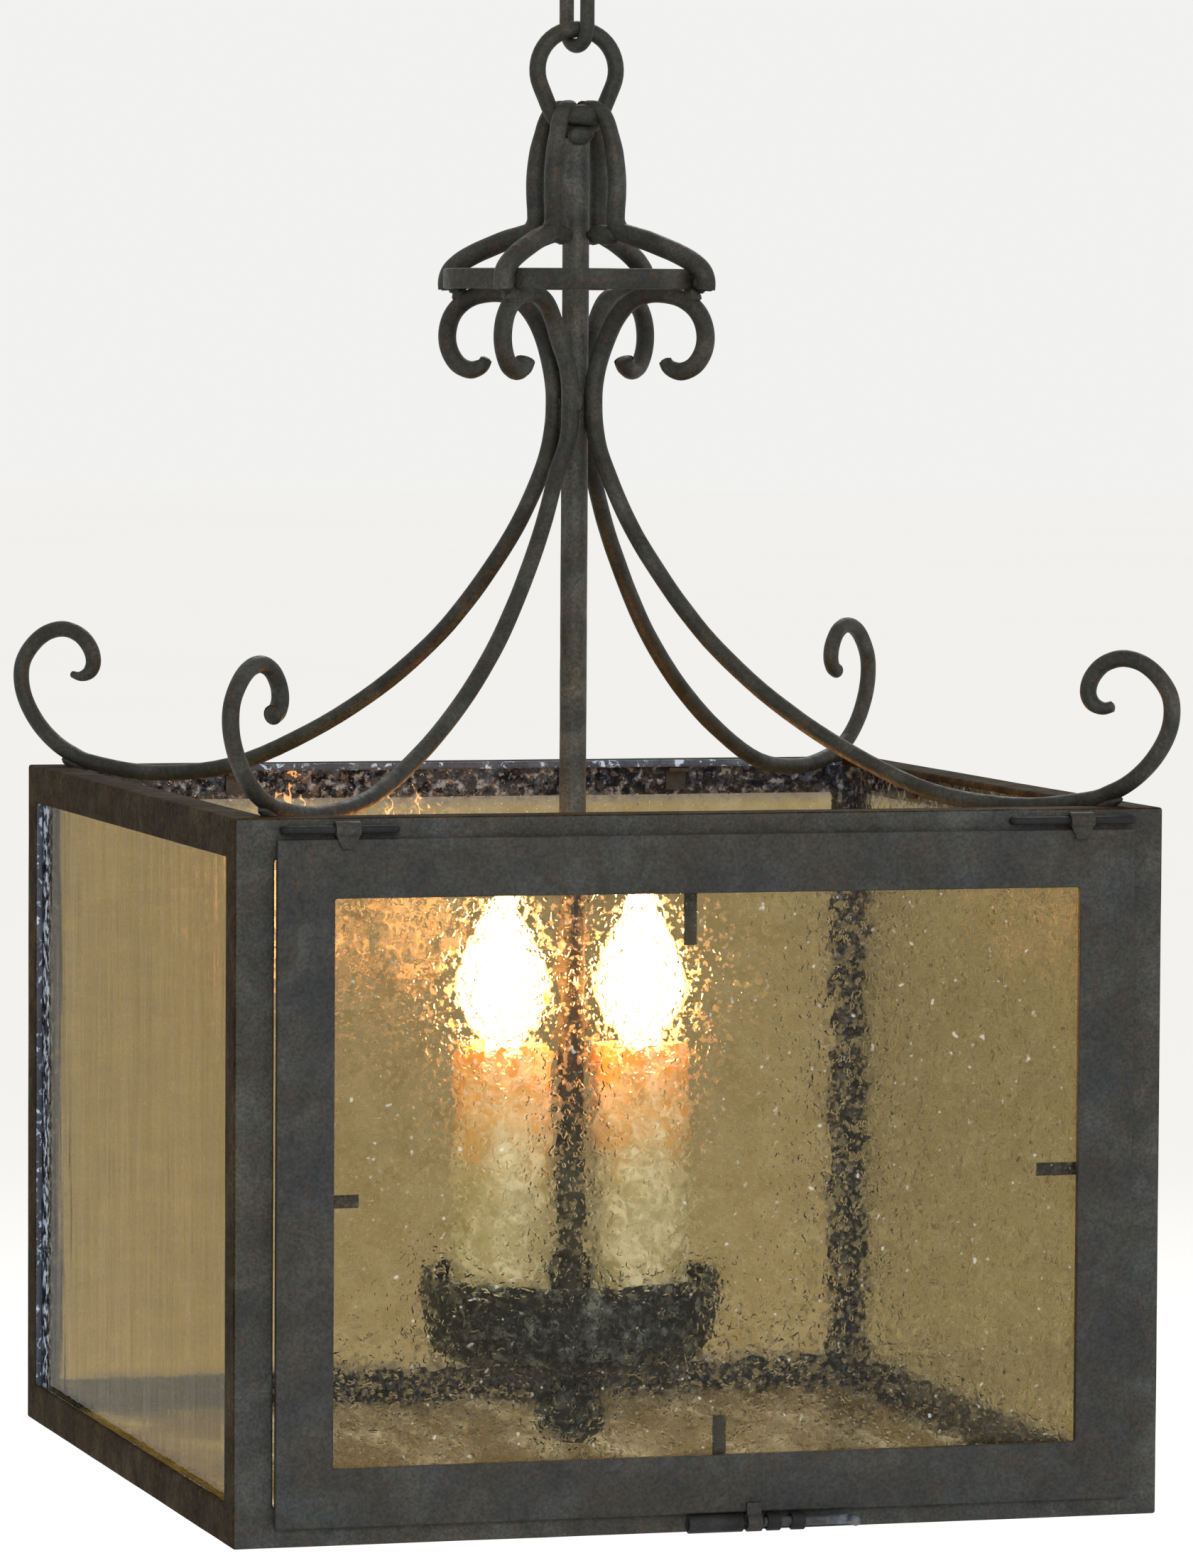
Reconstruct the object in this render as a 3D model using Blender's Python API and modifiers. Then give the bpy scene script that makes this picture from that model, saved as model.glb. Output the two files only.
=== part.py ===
"""Hanging lantern: an open-topped angle-iron box with seeded glass, scroll arms and two candles.

Metres, +Z up, front towards -Y. The origin is the point inside the chain link that the lantern
hangs from. Heights in the constants are measured from the underside of the box, and level() turns
one into a world Z. The box is square in plan, so each arm lies in a plane through one corner.
"""
import math

import bmesh
import bpy
from mathutils import Matrix

# Driving dimensions
BOX_SIDE = 0.343
BOX_HEIGHT = 0.256
HANG_HEIGHT = 0.5565
ANGLE_LEG = 0.0145
ANGLE_THICK = 0.003
ROD_RADIUS = 0.003175
GLASS_THICK = 0.003
GAP = 0.0003

# Door: flat bars over the front flanges, hung from two pins along its top edge
DOOR_LEFT = -0.1571
DOOR_RIGHT = 0.1600
DOOR_BOTTOM = 0.0070
DOOR_TOP = 0.2487
DOOR_BAR = 0.021
DOOR_THICK = 0.0032
DOOR_GLASS_LAP = 0.006
PIN_RADIUS = 0.0015
PIN_OFFSET = 0.0032
PIN_HEIGHT = 0.2519
PIN_SPANS = {"left": (-0.1558, -0.1127), "right": (0.1125, 0.1605)}
STRAP_CENTRES = {"left": -0.1320, "right": 0.1392}
STRAP_WIDTH = 0.009
STRAP_TAIL = 0.0068
SHEET_THICK = 0.0012
RUNNING_GAP = 0.0003

# Latch: a drawn-back bolt that slides left through a hasp on the door into a keeper
BOLT_RADIUS = 0.0018
BOLT_HEIGHT = 0.0034
BOLT_OFFSET = 0.0037
BOLT_TIP = 0.0212
BOLT_BEND = 0.0540
BOLT_LEVER = 0.0070
HASP_CENTRE = 0.0178
HASP_WIDTH = 0.0055
HASP_TAIL = 0.0072
GUIDE_WALL = 0.0012
GUIDES = {"inner": (0.0225, 0.0275), "outer": (0.0315, 0.0365)}
KEEPER_SPAN = (-0.0067, 0.0135)

# Hanging gear
TUBE_RADIUS = 0.00515
TUBE_TOP = 0.4975
BAND_OUTER = 0.0497
BAND_INNER = 0.0467
BAND_BOTTOM = 0.4412
BAND_TOP = 0.4488
RING_LOW_RADIUS = 0.0110
RING_LOW_CENTRE = 0.5120
RING_HIGH_RADIUS = 0.0152
RING_HIGH_CENTRE = 0.5228
LINK_WIRE = 0.0028
LINK_RADIUS = 0.0069
LINK_LOW_CENTRE = 0.538625
LINK_HIGH_CENTRE = 0.5524
LINK_TURN = math.radians(17.6)

# Candle cluster
CANDLE_SPACING = 0.0540
CANDLE_RADIUS = 0.0190
CANDLE_BOTTOM = 0.0455
CANDLE_TOP = 0.1586
SOCKET_RADIUS = 0.0125
SOCKET_BOTTOM = 0.1123
SOCKET_TOP = 0.1565
FOOT_RADIUS = 0.008
FOOT_BOTTOM = 0.0416
DISH_FLOOR = 0.0387

# Side views, as (distance from the centre line, height above the underside of the box)
ARM_PATH = [
    (0.0379, 0.4153), (0.0400, 0.4124), (0.0448, 0.4109), (0.0503, 0.4130), (0.0540, 0.4180),
    (0.0551, 0.4240), (0.0535, 0.4303), (0.0495, 0.4352), (0.0430, 0.4386), (0.0345, 0.4398),
    (0.0275, 0.4386), (0.0218, 0.4355), (0.0168, 0.4296), (0.0130, 0.4218), (0.0104, 0.4133),
    (0.0089, 0.4047), (0.0087, 0.3970), (0.0093, 0.3900), (0.0115, 0.3798), (0.0170, 0.3666),
    (0.0242, 0.3531), (0.0332, 0.3399), (0.0459, 0.3239), (0.0612, 0.3081), (0.0850, 0.2896),
    (0.1150, 0.2724), (0.1500, 0.2585), (0.1850, 0.2545), (0.2120, 0.2574), (0.2220, 0.2606),
    (0.2300, 0.2650), (0.2375, 0.2718), (0.2430, 0.2800), (0.2455, 0.2880), (0.2448, 0.2960),
    (0.2400, 0.3030), (0.2335, 0.3076), (0.2258, 0.3091), (0.2185, 0.3068), (0.2138, 0.3018),
    (0.2124, 0.2965), (0.2143, 0.2925), (0.2185, 0.2909), (0.2225, 0.2918),
]
CAGE_PATH = [
    (0.0042, 0.5084), (0.0078, 0.5083), (0.0108, 0.5068), (0.0128, 0.5037), (0.0143, 0.4995),
    (0.0156, 0.4945), (0.0166, 0.4888), (0.0173, 0.4825), (0.0173, 0.4760), (0.0169, 0.4700),
    (0.0171, 0.4660), (0.0193, 0.4626), (0.0240, 0.4610), (0.0300, 0.4594), (0.0365, 0.4571),
    (0.0430, 0.4553), (0.0485, 0.4533), (0.0522, 0.4512), (0.0543, 0.4480), (0.0550, 0.4445),
    (0.0547, 0.4408),
]
DISH_PROFILE = [
    (0.0, DISH_FLOOR), (0.022, 0.0392), (0.043, 0.0422), (0.0503, 0.0472), (0.0538, 0.0575),
    (0.0554, 0.0732), (0.0573, 0.0732), (0.0560, 0.0570), (0.0522, 0.0450), (0.0445, 0.0400),
    (0.022, 0.0368), (0.0, 0.0360),
]
FINIAL_PROFILE = [
    (0.0, 0.0357), (0.0090, 0.0357), (0.0100, 0.0335), (0.0082, 0.0312), (0.0118, 0.0270),
    (0.0135, 0.0210), (0.0122, 0.0145), (0.0085, 0.0098), (0.0045, 0.0075), (0.0, 0.0070),
]
BULB_PROFILE = [
    (0.0, 0.2350), (0.0016, 0.2330), (0.0026, 0.2270), (0.0036, 0.2190), (0.0056, 0.2110),
    (0.0098, 0.2020), (0.0149, 0.1925), (0.0178, 0.1835), (0.0174, 0.1755), (0.0138, 0.1680),
    (0.0084, 0.1615), (0.0065, 0.1568), (0.0, 0.1568),
]
SOCKET_PROFILE = [
    (0.0, SOCKET_TOP), (0.0095, SOCKET_TOP), (SOCKET_RADIUS, 0.1535), (SOCKET_RADIUS, SOCKET_BOTTOM),
    (0.0, SOCKET_BOTTOM),
]
# How far each arm leans round the tube where it touches it, in degrees
LEANS = {"front_right": -8, "back_right": 0, "back_left": 0, "front_left": 18}
WAIST_HEIGHT = 0.398
WAIST_REACH = 0.020
CORNERS = {"front_right": -45, "back_right": 45, "back_left": 135, "front_left": 225}
SIDES = {"front": 0, "right": 90, "back": 180, "left": 270}

HALF = BOX_SIDE / 2
FACE_Y = -HALF
DOOR_BACK_Y = FACE_Y - GAP
DOOR_FRONT_Y = DOOR_BACK_Y - DOOR_THICK

# Colour, roughness and metallic value of each finish
FINISHES = {
    "iron": ((0.060, 0.055, 0.050, 1.0), 0.55, 0.85),
    "glass": ((0.750, 0.560, 0.260, 1.0), 0.10, 0.0),
    "wax": ((0.780, 0.600, 0.330, 1.0), 0.45, 0.0),
    "bulb": ((1.000, 0.780, 0.420, 1.0), 0.15, 0.0),
    "socket": ((0.550, 0.430, 0.180, 1.0), 0.35, 0.9),
}


def level(height):
    """World Z of a height above the underside of the box."""
    return height - HANG_HEIGHT


def new_collection(name):
    collection = bpy.data.collections.new(name)
    bpy.context.scene.collection.children.link(collection)
    return collection


def give_material(data, name, finish):
    colour, roughness, metallic = FINISHES[finish]
    material = bpy.data.materials.new(name + "_material")
    material.use_nodes = True
    shader = material.node_tree.nodes["Principled BSDF"]
    shader.inputs["Base Color"].default_value = colour
    shader.inputs["Roughness"].default_value = roughness
    shader.inputs["Metallic"].default_value = metallic
    material.diffuse_color = colour
    data.materials.append(material)


def place(name, data, finish, parent, location=(0, 0, 0), rotation=(0, 0, 0)):
    """Links an object at a world location and rotation, riding on a parent empty."""
    give_material(data, name, finish)
    piece = bpy.data.objects.new(name, data)
    parts.objects.link(piece)
    piece.location = location
    piece.rotation_euler = rotation
    piece.parent = parent
    piece.matrix_parent_inverse = Matrix.Translation(parent["axis_point"]).inverted()
    return piece


def pivot(name, point, parent=None):
    """An empty on a joint's axis."""
    empty = bpy.data.objects.new(name, None)
    parts.objects.link(empty)
    empty["axis_point"] = point
    empty.location = point
    if parent is not None:
        empty.parent = parent
        empty.matrix_parent_inverse = Matrix.Translation(parent["axis_point"]).inverted()
    return empty


def smooth_path(points, steps=2):
    """Points along a Catmull-Rom curve through the given points, steps to a span."""
    ends = [points[0]] + list(points) + [points[-1]]
    path = []
    for before, start, end, after in zip(ends, ends[1:], ends[2:], ends[3:]):
        for step in range(steps):
            t = step / steps
            path.append(tuple(
                0.5 * (2 * b + (c - a) * t + (2 * a - 5 * b + 4 * c - d) * t * t
                       + (3 * b - a - 3 * c + d) * t ** 3)
                for a, b, c, d in zip(before, start, end, after)))
    path.append(tuple(points[-1]))
    return path


def rod(name, points, radius, parent, closed=False, turn=0.0, finish="iron", resolution=2):
    """A round bar along the points, turned about the centre line."""
    curve = bpy.data.curves.new(name, "CURVE")
    curve.dimensions = "3D"
    curve.bevel_depth = radius
    curve.bevel_resolution = resolution
    curve.use_fill_caps = not closed
    spline = curve.splines.new("POLY")
    spline.points.add(len(points) - 1)
    for control, point in zip(spline.points, points):
        control.co = (*point, 1.0)
    spline.use_cyclic_u = closed
    return place(name, curve, finish, parent, rotation=(0, 0, turn))


def outline(name, points, thickness, finish, parent, location, rotation, hole=None):
    """A flat outline extruded to a thickness along its own Z, centred on its plane."""
    curve = bpy.data.curves.new(name, "CURVE")
    curve.dimensions = "2D"
    curve.fill_mode = "BOTH"
    curve.extrude = thickness / 2
    for ring in [points] + ([hole] if hole else []):
        spline = curve.splines.new("POLY")
        spline.points.add(len(ring) - 1)
        for control, (x, y) in zip(spline.points, ring):
            control.co = (x, y, 0.0, 1.0)
        spline.use_cyclic_u = True
    return place(name, curve, finish, parent, location, rotation)


def plate(name, low, high, finish, parent, turn=0.0):
    """A box between two corners, then turned about the centre line."""
    mesh = bpy.data.meshes.new(name)
    shape = bmesh.new()
    bmesh.ops.create_cube(shape, size=1.0)
    bmesh.ops.scale(shape, vec=[b - a for a, b in zip(low, high)], verts=shape.verts)
    bmesh.ops.translate(shape, vec=[(a + b) / 2 for a, b in zip(low, high)], verts=shape.verts)
    shape.to_mesh(mesh)
    shape.free()
    return place(name, mesh, finish, parent, rotation=(0, 0, turn))


def turned(name, profile, finish, parent, location, rotation=(0, 0, 0), steps=24, closed=False):
    """A turned shape. The profile runs down its outer side; a closed one is a ring."""
    mesh = bpy.data.meshes.new(name)
    edges = [(i, i + 1) for i in range(len(profile) - 1)]
    if closed:
        edges.append((len(profile) - 1, 0))
    mesh.from_pydata([(radius, 0.0, height) for radius, height in profile], edges, [])
    piece = place(name, mesh, finish, parent, location, rotation)
    screw = piece.modifiers.new("turn", "SCREW")
    screw.steps = steps
    screw.render_steps = steps
    screw.use_merge_vertices = True
    screw.merge_threshold = 0.00001
    screw.use_smooth_shade = True
    return piece


def rectangle(left, bottom, right, top):
    return [(left, bottom), (right, bottom), (right, top), (left, top)]


def arc(radius, start, end, steps):
    """Points from one angle to another, in degrees."""
    angles = [math.radians(start + (end - start) * i / steps) for i in range(steps + 1)]
    return [(radius * math.cos(a), radius * math.sin(a)) for a in angles]


def mitred_angle(name, flip, parent, turn):
    """An angle-iron rail across the front face with 45 degree ends, turned to its side.

    One leg stands in the face and the other lies inwards: at the top of the box, or at the
    bottom when flipped.
    """
    leg, thick = ANGLE_LEG, ANGLE_THICK
    section = [(0, 0), (leg, 0), (leg, -thick), (thick, -thick), (thick, -leg), (0, -leg)]
    if flip:
        section = [(inset, leg_height + leg) for inset, leg_height in
                   [(0, -leg), (0, 0), (thick, 0), (thick, thick - leg), (leg, thick - leg), (leg, -leg)]]
    base = 0.0 if flip else BOX_HEIGHT
    mesh = bpy.data.meshes.new(name)
    shape = bmesh.new()
    ends = HALF - GAP
    verts = [shape.verts.new((inset - ends, inset - HALF, level(base + height))) for inset, height in section]
    face = shape.faces.new(verts)
    grown = bmesh.ops.extrude_face_region(shape, geom=[face])
    for vert in [item for item in grown["geom"] if isinstance(item, bmesh.types.BMVert)]:
        vert.co.x = -vert.co.x
    bmesh.ops.recalc_face_normals(shape, faces=shape.faces)
    shape.to_mesh(mesh)
    shape.free()
    return place(name, mesh, "iron", parent, rotation=(0, 0, turn))


def make_frame(body):
    for side, degrees in SIDES.items():
        turn = math.radians(degrees)
        mitred_angle("top_rail_" + side, False, body, turn)
        mitred_angle("bottom_rail_" + side, True, body, turn)
    leg, thick = ANGLE_LEG, ANGLE_THICK
    section = [(0, 0), (leg, 0), (leg, thick), (thick, thick), (thick, leg), (0, leg)]
    middle = level(BOX_HEIGHT / 2)
    length = BOX_HEIGHT - 2 * (ANGLE_LEG + GAP)
    for number, corner in enumerate(["front_left", "front_right", "back_right", "back_left"]):
        points = [(x - HALF, y - HALF) for x, y in section]
        outline("post_" + corner, points, length, "iron", body, (0, 0, middle),
                (0, 0, math.radians(90 * number)))


def make_panes(body):
    """A pane on the bottom rails, and three behind the flanges with two clips under each top rail."""
    inner = HALF - ANGLE_THICK - GAP
    pane_low = level(ANGLE_THICK + GAP)
    pane_high = level(BOX_HEIGHT - ANGLE_THICK - GAP)
    narrow = inner - GLASS_THICK - GAP
    clip_foot, clip_drop, clip_width = 0.006, 0.009, 0.008
    clip_thick = 0.0015
    plate("glass_bottom", (-narrow, -narrow, pane_low), (narrow, narrow, pane_low + GLASS_THICK),
          "glass", body)
    for side, half_width in (("back", narrow), ("left", inner), ("right", inner)):
        turn = math.radians(SIDES[side])
        plate("glass_" + side, (-half_width, -inner, pane_low),
              (half_width, GLASS_THICK - inner, pane_high), "glass", body, turn)
        top = pane_high
        face = GLASS_THICK - inner + GAP
        clip = [(face, top - clip_drop), (face + clip_thick, top - clip_drop),
                (face + clip_thick, top - clip_thick), (face + clip_foot, top - clip_thick),
                (face + clip_foot, top), (face, top)]
        for number, along in enumerate((-0.09, 0.09), start=1):
            x = along * math.cos(turn)
            y = along * math.sin(turn)
            outline(f"glass_clip_{side}_{number}", clip, clip_width, "iron", body, (x, y, 0),
                    (math.pi / 2, 0, math.pi / 2 + turn))


def make_arms(body):
    for corner, degrees in CORNERS.items():
        arm = []
        for r, z in smooth_path(ARM_PATH):
            near = math.exp(-((z - WAIST_HEIGHT) / WAIST_REACH) ** 4 - (r / WAIST_REACH) ** 4)
            lean = math.radians(LEANS[corner]) * near
            arm.append((r * math.cos(lean), r * math.sin(lean), level(z)))
        rod("scroll_arm_" + corner, arm, ROD_RADIUS, body, turn=math.radians(degrees))
        cage = [(r, 0.0, level(z)) for r, z in smooth_path(CAGE_PATH)]
        rod("cage_rod_" + corner, cage, ROD_RADIUS, body, turn=math.radians(degrees))
    band = [(BAND_OUTER, BAND_TOP), (BAND_OUTER, BAND_BOTTOM), (BAND_INNER, BAND_BOTTOM),
            (BAND_INNER, BAND_TOP)]
    turned("crown_band", band, "iron", body, (0, 0, level(0)), steps=48, closed=True)


def make_cluster(body):
    """The centre tube, the dish that it carries, and a candle either side of it."""
    tube = [(0, TUBE_TOP), (TUBE_RADIUS, TUBE_TOP), (TUBE_RADIUS, DISH_FLOOR + GAP), (0, DISH_FLOOR + GAP)]
    turned("central_tube", tube, "iron", body, (0, 0, level(0)))
    turned("candle_dish", DISH_PROFILE, "iron", body, (0, 0, level(0)), steps=40)
    turned("dish_finial", FINIAL_PROFILE, "iron", body, (0, 0, level(0)))
    bore = SOCKET_RADIUS + GAP
    sleeve = [(0, SOCKET_BOTTOM - GAP), (bore, SOCKET_BOTTOM - GAP), (bore, CANDLE_TOP),
              (CANDLE_RADIUS, CANDLE_TOP), (CANDLE_RADIUS, CANDLE_BOTTOM), (0, CANDLE_BOTTOM)]
    foot = [(0, CANDLE_BOTTOM - GAP), (FOOT_RADIUS, CANDLE_BOTTOM - GAP), (FOOT_RADIUS, FOOT_BOTTOM),
            (0, FOOT_BOTTOM)]
    for side, sign in (("left", -1), ("right", 1)):
        spot = (sign * CANDLE_SPACING / 2, 0, level(0))
        turned("candle_foot_" + side, foot, "iron", body, spot, steps=16)
        turned("candle_sleeve_" + side, sleeve, "wax", body, spot, steps=28)
        turned("lamp_socket_" + side, SOCKET_PROFILE, "socket", body, spot, steps=20)
        turned("bulb_" + side, BULB_PROFILE, "bulb", body, spot)


def upright_loop(low_radius, low, high_radius, high, steps=14):
    """A closed loop in the XZ plane: two arcs joined by the straights that touch both."""
    tilt = math.degrees(math.asin((high_radius - low_radius) / (high - low)))
    upper = [(x, 0.0, level(high) + z) for x, z in arc(high_radius, -tilt, 180 + tilt, steps)]
    lower = [(x, 0.0, level(low) + z) for x, z in arc(low_radius, 180 + tilt, 360 - tilt, steps)]
    return upper + lower


def make_hanging_gear(link_body, ring_body):
    ring = upright_loop(RING_LOW_RADIUS, RING_LOW_CENTRE, RING_HIGH_RADIUS, RING_HIGH_CENTRE)
    rod("hanging_ring", ring, ROD_RADIUS, ring_body, closed=True)
    link = upright_loop(LINK_RADIUS, LINK_LOW_CENTRE, LINK_RADIUS, LINK_HIGH_CENTRE)
    rod("chain_link", link, LINK_WIRE, link_body, closed=True, turn=math.pi / 2 + LINK_TURN)


def loop_strap(pin_radius, tail_face, tail_length, up):
    """A strip wrapped round a pin at the origin, with a flat tail that lies on the door.

    Local X points into the box and local Y up. tail_face is where the tail's inner face lies.
    """
    inner = pin_radius + RUNNING_GAP
    outer = inner + SHEET_THICK
    outer_start = 180 + math.degrees(math.acos((SHEET_THICK - tail_face) / outer))
    inner_start = 180 + math.degrees(math.acos(-tail_face / inner))
    free_end = -55
    points = [(tail_face - SHEET_THICK, -tail_length)]
    points += arc(outer, outer_start, free_end, 14)
    points += arc(inner, free_end, inner_start, 14)
    points.append((tail_face, -tail_length))
    if up:
        points = [(x, -y) for x, y in points]
    return points


def tab_outline(base, glass_back, finger):
    """A bent tab: a base on the bar, a step over the pane's edge and a finger on the pane."""
    step = base + SHEET_THICK
    return [(0, GAP), (step, GAP), (step, glass_back), (step + finger, glass_back),
            (step + finger, glass_back + SHEET_THICK), (base, glass_back + SHEET_THICK),
            (base, GAP + SHEET_THICK), (0, GAP + SHEET_THICK)]


def make_door(body, door_pivot):
    across = (math.pi / 2, 0, 0)
    door_y = (DOOR_BACK_Y + DOOR_FRONT_Y) / 2
    outer = rectangle(DOOR_LEFT, level(DOOR_BOTTOM), DOOR_RIGHT, level(DOOR_TOP))
    inner = rectangle(DOOR_LEFT + DOOR_BAR, level(DOOR_BOTTOM + DOOR_BAR),
                      DOOR_RIGHT - DOOR_BAR, level(DOOR_TOP - DOOR_BAR))
    outline("door_frame", outer, DOOR_THICK, "iron", door_pivot, (0, door_y, 0), across, hole=inner)
    rebate = DOOR_BAR - DOOR_GLASS_LAP
    plate("door_glass", (DOOR_LEFT + rebate, DOOR_BACK_Y + GAP, level(DOOR_BOTTOM + rebate)),
          (DOOR_RIGHT - rebate, DOOR_BACK_Y + GAP + GLASS_THICK, level(DOOR_TOP - rebate)),
          "glass", door_pivot)
    make_tabs(door_pivot, rebate)

    pin_y = FACE_Y - PIN_OFFSET
    pin_z = level(PIN_HEIGHT)
    end_y = FACE_Y - GAP
    for side, (start, end) in PIN_SPANS.items():
        low, high = start + PIN_RADIUS, end - PIN_RADIUS
        bend = 0.0012
        route = [(low, end_y, pin_z), (low, pin_y + bend, pin_z), (low + bend / 3, pin_y + bend / 3, pin_z),
                 (low + bend, pin_y, pin_z), (high - bend, pin_y, pin_z),
                 (high - bend / 3, pin_y + bend / 3, pin_z), (high, pin_y + bend, pin_z), (high, end_y, pin_z)]
        rod("hinge_pin_" + side, route, PIN_RADIUS, body)
        strap = loop_strap(PIN_RADIUS, DOOR_FRONT_Y - GAP - pin_y, STRAP_TAIL, up=False)
        outline("hinge_strap_" + side, strap, STRAP_WIDTH, "iron", door_pivot,
                (STRAP_CENTRES[side], pin_y, pin_z), (math.pi / 2, 0, math.pi / 2))


def make_tabs(door_pivot, rebate):
    """Four bent tabs behind the door hold its pane."""
    base = 0.0050
    finger = {"top": 0.0250, "bottom": 0.0195, "left": 0.0165, "right": 0.0195}
    glass_back = GAP + GLASS_THICK + GAP
    width = 0.0046
    start = rebate - base - SHEET_THICK - GAP
    spots = {
        "top": ((-0.005, level(DOOR_TOP - start)), -90),
        "bottom": ((0.007, level(DOOR_BOTTOM + start)), 90),
        "left": ((DOOR_LEFT + start, level(0.121)), 0),
        "right": ((DOOR_RIGHT - start, level(0.126)), 180),
    }
    for side, ((x, z), angle) in spots.items():
        shape = tab_outline(base, glass_back, finger[side])
        tilt = Matrix.Rotation(-math.radians(angle), 4, "Y")
        outline("door_tab_" + side, shape, width, "iron", door_pivot, (x, DOOR_BACK_Y, z),
                tilt.to_euler())


def make_latch(body, door_pivot, bolt_pivot):
    bolt_y = FACE_Y - BOLT_OFFSET
    bolt_z = level(BOLT_HEIGHT)
    bend = 0.0015
    route = [(BOLT_TIP, bolt_y, bolt_z), (BOLT_BEND - bend, bolt_y, bolt_z),
             (BOLT_BEND - bend / 3, bolt_y - bend / 3, bolt_z), (BOLT_BEND, bolt_y - bend, bolt_z),
             (BOLT_BEND, bolt_y - BOLT_LEVER, bolt_z)]
    rod("latch_bolt", route, BOLT_RADIUS, bolt_pivot)
    hasp = loop_strap(BOLT_RADIUS, DOOR_FRONT_Y - GAP - bolt_y, HASP_TAIL, up=True)
    outline("latch_hasp", hasp, HASP_WIDTH, "iron", door_pivot, (HASP_CENTRE, bolt_y, bolt_z),
            (math.pi / 2, 0, math.pi / 2))
    spans = {"latch_guide_" + name: span for name, span in GUIDES.items()}
    spans["latch_keeper"] = KEEPER_SPAN
    inner = BOLT_RADIUS + RUNNING_GAP
    outer = inner + GUIDE_WALL
    for name, (start, end) in spans.items():
        sleeve = [(outer, end - start), (outer, 0), (inner, 0), (inner, end - start)]
        turned(name, sleeve, "iron", body, (start, bolt_y, bolt_z), (0, math.pi / 2, 0),
               steps=16, closed=True)


for leftover in list(bpy.data.objects):
    bpy.data.objects.remove(leftover)
parts = new_collection("hanging_lantern")
link_pivot = pivot("link_pivot", (0, 0, 0))
ring_pivot = pivot("ring_pivot", (0, 0, level(LINK_LOW_CENTRE - LINK_RADIUS)), link_pivot)
lantern_pivot = pivot("lantern_pivot", (0, 0, level(RING_LOW_CENTRE - RING_LOW_RADIUS)), ring_pivot)
hinge_pivot = pivot("door_pivot", (0, FACE_Y - PIN_OFFSET, level(PIN_HEIGHT)), lantern_pivot)
bolt_pivot = pivot("bolt_pivot", (BOLT_TIP, FACE_Y - BOLT_OFFSET, level(BOLT_HEIGHT)), lantern_pivot)
make_hanging_gear(link_pivot, ring_pivot)
make_arms(lantern_pivot)
make_frame(lantern_pivot)
make_panes(lantern_pivot)
make_cluster(lantern_pivot)
make_door(lantern_pivot, hinge_pivot)
make_latch(lantern_pivot, hinge_pivot, bolt_pivot)
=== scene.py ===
"""A lit hanging lantern over a pale studio floor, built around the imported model.

Metres, in the row frame: +Z up, front towards -Y, origin at the top of the chain link's inside.
Heights in the constants are measured from the underside of the box, as in the CAD.
"""
import math
from itertools import product

import bmesh
import bpy
from mathutils import Matrix, Vector, noise


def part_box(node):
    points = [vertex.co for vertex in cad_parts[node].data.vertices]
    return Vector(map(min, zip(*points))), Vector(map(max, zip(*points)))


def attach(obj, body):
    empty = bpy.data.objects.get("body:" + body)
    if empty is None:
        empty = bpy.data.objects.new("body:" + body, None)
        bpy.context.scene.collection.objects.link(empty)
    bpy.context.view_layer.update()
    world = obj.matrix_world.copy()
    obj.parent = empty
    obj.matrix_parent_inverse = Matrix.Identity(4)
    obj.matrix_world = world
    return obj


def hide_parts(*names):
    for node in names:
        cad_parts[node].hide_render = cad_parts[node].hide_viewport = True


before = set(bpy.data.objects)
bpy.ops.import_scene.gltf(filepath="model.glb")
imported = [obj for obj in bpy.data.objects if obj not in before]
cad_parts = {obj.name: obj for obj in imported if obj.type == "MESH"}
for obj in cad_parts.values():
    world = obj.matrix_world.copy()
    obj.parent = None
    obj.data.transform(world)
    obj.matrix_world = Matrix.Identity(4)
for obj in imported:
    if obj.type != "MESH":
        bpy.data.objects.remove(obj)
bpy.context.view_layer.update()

CORNERS = {"front_right": -45, "back_right": 45, "back_left": 135, "front_left": 225}
SIDES = ("front", "right", "back", "left")

# Side views, as (distance from the centre line, height above the underside of the box)
ARM_PATH = [
    (0.0379, 0.4153), (0.0400, 0.4124), (0.0448, 0.4109), (0.0503, 0.4130), (0.0540, 0.4180),
    (0.0551, 0.4240), (0.0535, 0.4303), (0.0495, 0.4352), (0.0430, 0.4386), (0.0345, 0.4398),
    (0.0275, 0.4386), (0.0218, 0.4355), (0.0168, 0.4296), (0.0130, 0.4218), (0.0104, 0.4133),
    (0.0089, 0.4047), (0.0087, 0.3970), (0.0093, 0.3900), (0.0115, 0.3798), (0.0170, 0.3666),
    (0.0242, 0.3531), (0.0332, 0.3399), (0.0459, 0.3239), (0.0612, 0.3081), (0.0850, 0.2896),
    (0.1150, 0.2724), (0.1500, 0.2585), (0.1850, 0.2545), (0.2120, 0.2574), (0.2220, 0.2606),
    (0.2300, 0.2650), (0.2375, 0.2718), (0.2430, 0.2800), (0.2455, 0.2880), (0.2448, 0.2960),
    (0.2400, 0.3030), (0.2335, 0.3076), (0.2258, 0.3091), (0.2185, 0.3068), (0.2138, 0.3018),
    (0.2124, 0.2965), (0.2143, 0.2925), (0.2185, 0.2909), (0.2225, 0.2918),
]
CAGE_PATH = [
    (0.0042, 0.5084), (0.0078, 0.5083), (0.0108, 0.5068), (0.0128, 0.5037), (0.0143, 0.4995),
    (0.0156, 0.4945), (0.0166, 0.4888), (0.0173, 0.4825), (0.0173, 0.4760), (0.0169, 0.4700),
    (0.0171, 0.4660), (0.0193, 0.4626), (0.0240, 0.4610), (0.0300, 0.4594), (0.0365, 0.4571),
    (0.0430, 0.4546), (0.0490, 0.4516), (0.0532, 0.4482), (0.0548, 0.4445), (0.0547, 0.4408),
]
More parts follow.
